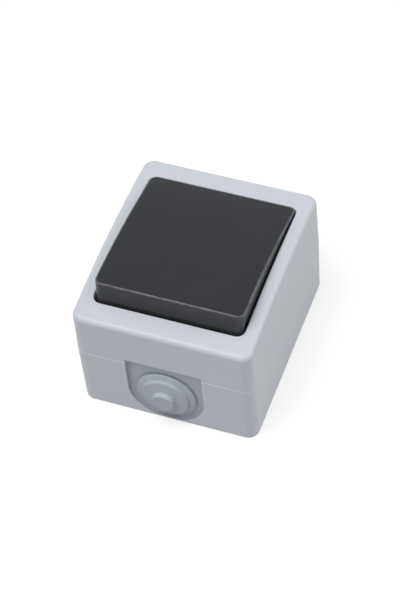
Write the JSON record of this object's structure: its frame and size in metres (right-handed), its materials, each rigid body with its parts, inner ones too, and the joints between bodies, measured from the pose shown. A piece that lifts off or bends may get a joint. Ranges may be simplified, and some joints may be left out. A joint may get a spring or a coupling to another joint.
{
  "type": "surface mounted light switch",
  "caption": "Surface mounted damp-room light switch: drafted rear box with stepped cable grommet, curved cover frame and a dark rocker that tilts and throws a contact lever.",
  "frame": {"origin": "centre of the flat back face that goes against the wall", "axes": "+X to the right, +Y up the wall, +Z out of the wall; the part lies on its back as in the picture"},
  "size_m": [0.0666, 0.0811, 0.0554],
  "materials": {
    "housing_plastic": "fine satin, light grey",
    "rocker_plastic": "satin, anthracite",
    "grey_rubber": "matt, mid grey",
    "insert_plastic": "satin, cream",
    "contact_brass": "rolled",
    "contact_silver": "bright",
    "strap_steel": "zinc plated",
    "screw_steel": "zinc plated",
    "spring_steel": "drawn wire"
  },
  "bodies": {
    "housing": {"rear_box": "housing_plastic", "cable_grommet": "grey_rubber", "box_gasket": "grey_rubber", "cover_frame": "housing_plastic", "cover_screws": "screw_steel", "insert_body": "insert_plastic", "insert_cover": "insert_plastic", "mounting_strap": "strap_steel", "strap_screws": "screw_steel", "window_gasket": "grey_rubber", "common_strip": "contact_brass", "lower_strip": "contact_brass", "upper_strip": "contact_brass", "fixed_contacts": "contact_silver", "terminal_clamps": "strap_steel", "terminal_screws": "screw_steel"},
    "rocker": {"rocker_plate": "rocker_plastic", "rocker_cradle": "insert_plastic", "plunger_spring": "spring_steel", "plunger": "contact_brass"},
    "lever": {"contact_lever": "contact_brass", "moving_contacts": "contact_silver"}
  },
  "joints": [
    {"name": "rocker_tilt", "type": "hinge", "parent": "housing", "child": "rocker", "pos_m": [0, 0, 0.043], "axis": [1, 0, 0], "range_deg": [0, 13.6]},
    {"name": "lever_tilt", "type": "hinge", "parent": "housing", "child": "lever", "pos_m": [0, 0, 0.02141], "axis": [1, 0, 0], "range_deg": [-20.4, 0]}
  ],
  "couplings": [
    {"joint": "lever_tilt", "follows": "rocker_tilt", "ratio": -1.5}
  ]
}
